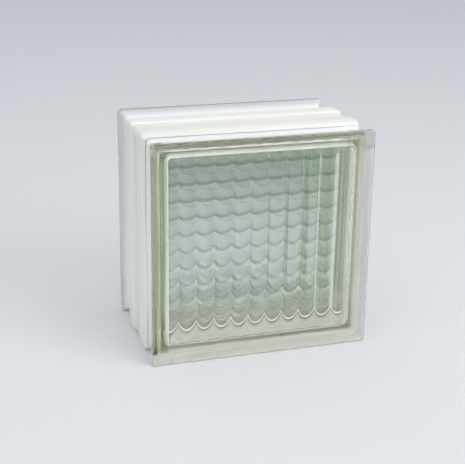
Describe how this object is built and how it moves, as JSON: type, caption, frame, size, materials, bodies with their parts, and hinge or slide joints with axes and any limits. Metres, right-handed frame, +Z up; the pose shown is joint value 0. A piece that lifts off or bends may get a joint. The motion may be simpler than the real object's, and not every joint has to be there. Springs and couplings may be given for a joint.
{
  "type": "glass block",
  "caption": "Square hollow glass block with fluted inner faces, clear edge flanges and a cream-coated side channel.",
  "frame": {"origin": "centre of the block's underside, as it stands on one edge", "axes": "+Z up, the two faces look along -Y (front) and +Y (back), +X to the right seen from the front"},
  "size_m": [0.145, 0.095, 0.145],
  "materials": {
    "pressed_glass": "clear, faintly green pressed glass",
    "edge_coating": "rough cream coating"
  },
  "bodies": {
    "root": {"front_half_shell": "pressed_glass", "back_half_shell": "pressed_glass", "edge_coating": "edge_coating"}
  },
  "joints": []
}
